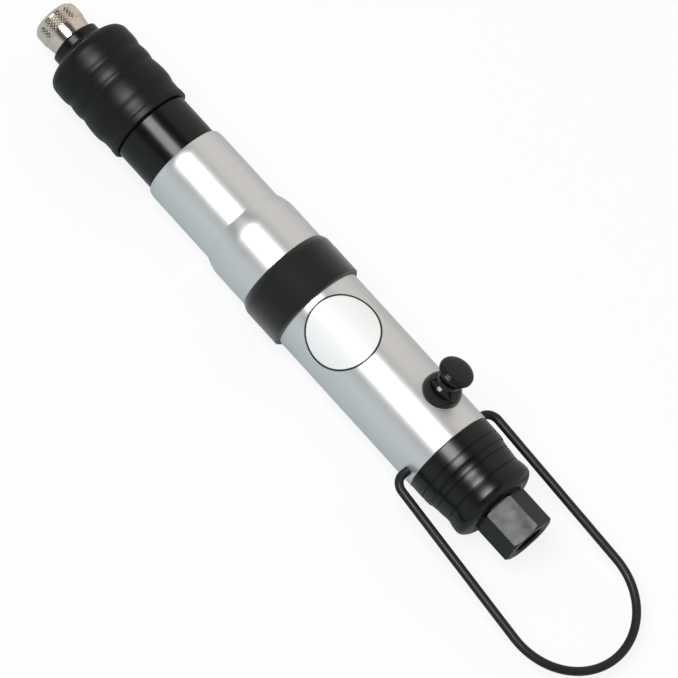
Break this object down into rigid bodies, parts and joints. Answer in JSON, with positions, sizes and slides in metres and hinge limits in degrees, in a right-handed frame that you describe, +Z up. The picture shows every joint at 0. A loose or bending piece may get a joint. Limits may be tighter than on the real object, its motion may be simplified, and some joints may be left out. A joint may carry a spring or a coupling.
{
  "type": "pneumatic screwdriver",
  "caption": "Straight pneumatic screwdriver with quick-change bit collar, torque sleeve, planetary gears, vane motor, reverse button, hexagon air inlet and hanging bail.",
  "frame": {"origin": "on the tool's axis, at the mouth of the bit socket, in the plane of the collar's front face", "axes": "+X along the tool's axis from the bit towards the air inlet; +Z up, with the tool lying level and the bail pivot level along Y"},
  "size_m": [0.3129, 0.0572, 0.0515],
  "materials": {
    "nickel": "nickel plated, knurled",
    "black_satin": "satin black anodised",
    "black_matte": "black moulded grip, soft sheen",
    "black_gloss": "gloss black",
    "satin_aluminium": "satin silver anodised",
    "plain_aluminium": "machined",
    "black_oxide": "black oxide",
    "steel": "ground",
    "bronze": "sintered bronze",
    "vane_fibre": "laminated fibre",
    "felt": "pressed felt"
  },
  "bodies": {
    "tool_body": {"nose_bush": "bronze", "clutch_tube": "black_satin", "sleeve_bush": "bronze", "clutch_spring": "steel", "output_bearing_outer": "steel", "output_bearing_balls": "steel", "gear_housing": "satin_aluminium", "ring_gear": "steel", "gear_case_plate": "steel", "coupling_ring": "black_satin", "motor_housing": "satin_aluminium", "front_end_plate": "plain_aluminium", "cylinder_liner": "steel", "rear_end_plate": "plain_aluminium", "dowel_pin": "steel", "front_bearing_outer": "steel", "front_bearing_balls": "steel", "rear_bearing_outer": "steel", "rear_bearing_balls": "steel", "valve_block": "plain_aluminium", "button_bush": "black_gloss", "button_spring": "steel", "rear_cap": "black_satin", "throttle_seat": "bronze", "throttle_spring": "steel", "exhaust_muffler": "felt", "inlet_bushing": "black_oxide", "inlet_screen": "steel"},
    "torque_sleeve": {"torque_sleeve": "black_matte"},
    "spring_seat": {"adjusting_nut": "steel", "adjusting_pins": "steel", "spring_seat": "steel"},
    "output": {"output_shaft": "steel", "thrust_washer": "steel", "cam_plate": "steel", "clutch_balls": "steel", "output_bearing_inner": "steel", "planet_pins_2": "steel"},
    "spindle": {"bit_holder": "steel", "collar_retaining_ring": "steel", "retaining_balls": "steel", "collar_spring": "steel"},
    "collar": {"bit_collar": "nickel"},
    "carrier_1": {"carrier_1": "steel", "planet_pins_1": "steel"},
    "planet_2_a": {"planet_2_a": "steel"},
    "planet_2_b": {"planet_2_b": "steel"},
    "planet_2_c": {"planet_2_c": "steel"},
    "planet_1_a": {"planet_1_a": "steel"},
    "planet_1_b": {"planet_1_b": "steel"},
    "planet_1_c": {"planet_1_c": "steel"},
    "rotor": {"rotor": "steel", "vanes": "vane_fibre", "front_bearing_inner": "steel", "rear_bearing_inner": "steel"},
    "push_rod": {"push_rod": "steel", "throttle_ball": "steel"},
    "reverse_button": {"reverse_button": "black_gloss"},
    "bail": {"bail": "black_oxide"}
  },
  "joints": [
    {"name": "rotor_spin", "type": "hinge", "parent": "tool_body", "child": "rotor", "pos_m": [0.166, 0, 0], "axis": [1, 0, 0], "continuous": true},
    {"name": "carrier_1_spin", "type": "hinge", "parent": "tool_body", "child": "carrier_1", "pos_m": [0.11, 0, 0], "axis": [1, 0, 0], "continuous": true},
    {"name": "output_spin", "type": "hinge", "parent": "tool_body", "child": "output", "pos_m": [0.09, 0, 0], "axis": [1, 0, 0], "continuous": true},
    {"name": "planet_1_a_spin", "type": "hinge", "parent": "carrier_1", "child": "planet_1_a", "pos_m": [0.117, 0, 0.0081], "axis": [1, 0, 0], "continuous": true},
    {"name": "planet_1_b_spin", "type": "hinge", "parent": "carrier_1", "child": "planet_1_b", "pos_m": [0.117, -0.00701, -0.00405], "axis": [1, 0, 0], "continuous": true},
    {"name": "planet_1_c_spin", "type": "hinge", "parent": "carrier_1", "child": "planet_1_c", "pos_m": [0.117, 0.00701, -0.00405], "axis": [1, 0, 0], "continuous": true},
    {"name": "planet_2_a_spin", "type": "hinge", "parent": "output", "child": "planet_2_a", "pos_m": [0.1033, 0, 0.0081], "axis": [1, 0, 0], "continuous": true},
    {"name": "planet_2_b_spin", "type": "hinge", "parent": "output", "child": "planet_2_b", "pos_m": [0.1033, -0.00701, -0.00405], "axis": [1, 0, 0], "continuous": true},
    {"name": "planet_2_c_spin", "type": "hinge", "parent": "output", "child": "planet_2_c", "pos_m": [0.1033, 0.00701, -0.00405], "axis": [1, 0, 0], "continuous": true},
    {"name": "torque_turn", "type": "hinge", "parent": "tool_body", "child": "torque_sleeve", "pos_m": [0.036, 0, 0], "axis": [1, 0, 0], "range_deg": [0, 300]},
    {"name": "seat_slide", "type": "slide", "parent": "tool_body", "child": "spring_seat", "axis": [1, 0, 0], "range_m": [0, 0.006], "deforming": ["clutch_spring"]},
    {"name": "bit_push", "type": "slide", "parent": "output", "child": "spindle", "axis": [1, 0, 0], "range_m": [0, 0.0018], "stiffness_N_per_m": 1000, "springref_m": -0.003},
    {"name": "collar_pull", "type": "slide", "parent": "spindle", "child": "collar", "axis": [-1, 0, 0], "range_m": [0, 0.0025], "stiffness_N_per_m": 600, "springref_m": -0.004, "deforming": ["collar_spring"]},
    {"name": "rod_slide", "type": "slide", "parent": "tool_body", "child": "push_rod", "axis": [1, 0, 0], "range_m": [0, 0.0018], "deforming": ["throttle_spring"]},
    {"name": "button_press", "type": "slide", "parent": "tool_body", "child": "reverse_button", "axis": [0, -0.225, -0.9744], "range_m": [0, 0.0018], "stiffness_N_per_m": 500, "springref_m": -0.003, "deforming": ["button_spring"]},
    {"name": "bail_swing", "type": "hinge", "parent": "tool_body", "child": "bail", "pos_m": [0.2139, 0, 0], "axis": [0, 1, 0], "range_deg": [-165, 150]}
  ],
  "couplings": [
    {"joint": "carrier_1_spin", "follows": "rotor_spin", "ratio": 0.22222},
    {"joint": "output_spin", "follows": "rotor_spin", "ratio": 0.049383},
    {"joint": "planet_1_a_spin", "follows": "rotor_spin", "ratio": -0.62222},
    {"joint": "planet_2_a_spin", "follows": "rotor_spin", "ratio": -0.13827},
    {"joint": "planet_1_b_spin", "follows": "rotor_spin", "ratio": -0.62222},
    {"joint": "planet_2_b_spin", "follows": "rotor_spin", "ratio": -0.13827},
    {"joint": "planet_1_c_spin", "follows": "rotor_spin", "ratio": -0.62222},
    {"joint": "planet_2_c_spin", "follows": "rotor_spin", "ratio": -0.13827},
    {"joint": "seat_slide", "follows": "torque_turn", "m_per_rad": 0.0011459},
    {"joint": "rod_slide", "follows": "bit_push", "ratio": 1}
  ]
}
